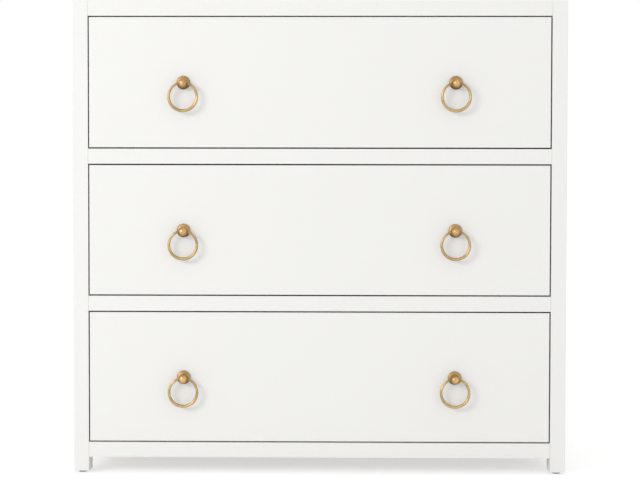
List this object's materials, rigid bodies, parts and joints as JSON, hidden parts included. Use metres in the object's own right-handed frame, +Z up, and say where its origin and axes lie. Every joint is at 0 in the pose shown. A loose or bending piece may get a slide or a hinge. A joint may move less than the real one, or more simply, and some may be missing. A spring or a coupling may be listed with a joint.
{
  "type": "dresser",
  "caption": "Low white lacquered dresser with inset drawers on telescopic slides, dovetailed drawer boxes and swinging brass ring pulls.",
  "frame": {"origin": "on the floor under the middle of the object's bounding box, pulls included", "axes": "+X along the width, to the right seen from the front; -Y out of the drawer fronts; +Z up"},
  "size_m": [0.914, 0.479, 0.877],
  "materials": {
    "white_lacquer": "satin white lacquer",
    "inner_wood": "plain sanded wood",
    "drawer_box_wood": "clear lacquered birch",
    "back_board": "white faced board",
    "zinc_plate": "zinc plated",
    "antique_brass": "antique satin brass",
    "dark_glide": "dark matt"
  },
  "bodies": {
    "carcass": {"left_side_panel": "white_lacquer", "right_side_panel": "white_lacquer", "top_panel": "white_lacquer", "bottom_rail": "white_lacquer", "lower_divider_rail": "white_lacquer", "upper_divider_rail": "white_lacquer", "rear_bottom_rail": "inner_wood", "rear_top_rail": "inner_wood", "bottom_panel": "inner_wood", "back_panel": "back_board", "front_left_glide": "dark_glide", "front_right_glide": "dark_glide", "rear_left_glide": "dark_glide", "rear_right_glide": "dark_glide", "upper_left_slide_cabinet_member": "zinc_plate", "upper_right_slide_cabinet_member": "zinc_plate", "centre_left_slide_cabinet_member": "zinc_plate", "centre_right_slide_cabinet_member": "zinc_plate", "lower_left_slide_cabinet_member": "zinc_plate", "lower_right_slide_cabinet_member": "zinc_plate"},
    "upper_drawer": {"upper_drawer_front": "white_lacquer", "upper_drawer_left_side": "drawer_box_wood", "upper_drawer_right_side": "drawer_box_wood", "upper_drawer_back": "drawer_box_wood", "upper_drawer_bottom": "drawer_box_wood", "upper_left_slide_drawer_member": "zinc_plate", "upper_left_pull_post": "antique_brass", "upper_right_slide_drawer_member": "zinc_plate", "upper_right_pull_post": "antique_brass"},
    "upper_slide_carriage": {"upper_left_slide_middle_member": "zinc_plate", "upper_right_slide_middle_member": "zinc_plate"},
    "upper_left_ring": {"upper_left_pull_ring": "antique_brass"},
    "upper_right_ring": {"upper_right_pull_ring": "antique_brass"},
    "centre_drawer": {"centre_drawer_front": "white_lacquer", "centre_drawer_left_side": "drawer_box_wood", "centre_drawer_right_side": "drawer_box_wood", "centre_drawer_back": "drawer_box_wood", "centre_drawer_bottom": "drawer_box_wood", "centre_left_slide_drawer_member": "zinc_plate", "centre_left_pull_post": "antique_brass", "centre_right_slide_drawer_member": "zinc_plate", "centre_right_pull_post": "antique_brass"},
    "centre_slide_carriage": {"centre_left_slide_middle_member": "zinc_plate", "centre_right_slide_middle_member": "zinc_plate"},
    "centre_left_ring": {"centre_left_pull_ring": "antique_brass"},
    "centre_right_ring": {"centre_right_pull_ring": "antique_brass"},
    "lower_drawer": {"lower_drawer_front": "white_lacquer", "lower_drawer_left_side": "drawer_box_wood", "lower_drawer_right_side": "drawer_box_wood", "lower_drawer_back": "drawer_box_wood", "lower_drawer_bottom": "drawer_box_wood", "lower_left_slide_drawer_member": "zinc_plate", "lower_left_pull_post": "antique_brass", "lower_right_slide_drawer_member": "zinc_plate", "lower_right_pull_post": "antique_brass"},
    "lower_slide_carriage": {"lower_left_slide_middle_member": "zinc_plate", "lower_right_slide_middle_member": "zinc_plate"},
    "lower_left_ring": {"lower_left_pull_ring": "antique_brass"},
    "lower_right_ring": {"lower_right_pull_ring": "antique_brass"}
  },
  "joints": [
    {"name": "upper_drawer_slide", "type": "slide", "parent": "carcass", "child": "upper_drawer", "axis": [0, -1, 0], "range_m": [0, 0.4]},
    {"name": "upper_slide_carriage_run", "type": "slide", "parent": "carcass", "child": "upper_slide_carriage", "axis": [0, -1, 0], "range_m": [0, 0.2]},
    {"name": "upper_left_ring_swing", "type": "hinge", "parent": "upper_drawer", "child": "upper_left_ring", "pos_m": [-0.2515, -0.23101, 0.725], "axis": [-1, 0, 0], "range_deg": [-11, 191]},
    {"name": "upper_right_ring_swing", "type": "hinge", "parent": "upper_drawer", "child": "upper_right_ring", "pos_m": [0.2515, -0.23101, 0.725], "axis": [-1, 0, 0], "range_deg": [-11, 191]},
    {"name": "centre_drawer_slide", "type": "slide", "parent": "carcass", "child": "centre_drawer", "axis": [0, -1, 0], "range_m": [0, 0.4]},
    {"name": "centre_slide_carriage_run", "type": "slide", "parent": "carcass", "child": "centre_slide_carriage", "axis": [0, -1, 0], "range_m": [0, 0.2]},
    {"name": "centre_left_ring_swing", "type": "hinge", "parent": "centre_drawer", "child": "centre_left_ring", "pos_m": [-0.2515, -0.23101, 0.452], "axis": [-1, 0, 0], "range_deg": [-11, 191]},
    {"name": "centre_right_ring_swing", "type": "hinge", "parent": "centre_drawer", "child": "centre_right_ring", "pos_m": [0.2515, -0.23101, 0.452], "axis": [-1, 0, 0], "range_deg": [-11, 191]},
    {"name": "lower_drawer_slide", "type": "slide", "parent": "carcass", "child": "lower_drawer", "axis": [0, -1, 0], "range_m": [0, 0.4]},
    {"name": "lower_slide_carriage_run", "type": "slide", "parent": "carcass", "child": "lower_slide_carriage", "axis": [0, -1, 0], "range_m": [0, 0.2]},
    {"name": "lower_left_ring_swing", "type": "hinge", "parent": "lower_drawer", "child": "lower_left_ring", "pos_m": [-0.2515, -0.23101, 0.179], "axis": [-1, 0, 0], "range_deg": [-11, 191]},
    {"name": "lower_right_ring_swing", "type": "hinge", "parent": "lower_drawer", "child": "lower_right_ring", "pos_m": [0.2515, -0.23101, 0.179], "axis": [-1, 0, 0], "range_deg": [-11, 191]}
  ],
  "couplings": [
    {"joint": "upper_slide_carriage_run", "follows": "upper_drawer_slide", "ratio": 0.5},
    {"joint": "centre_slide_carriage_run", "follows": "centre_drawer_slide", "ratio": 0.5},
    {"joint": "lower_slide_carriage_run", "follows": "lower_drawer_slide", "ratio": 0.5}
  ]
}
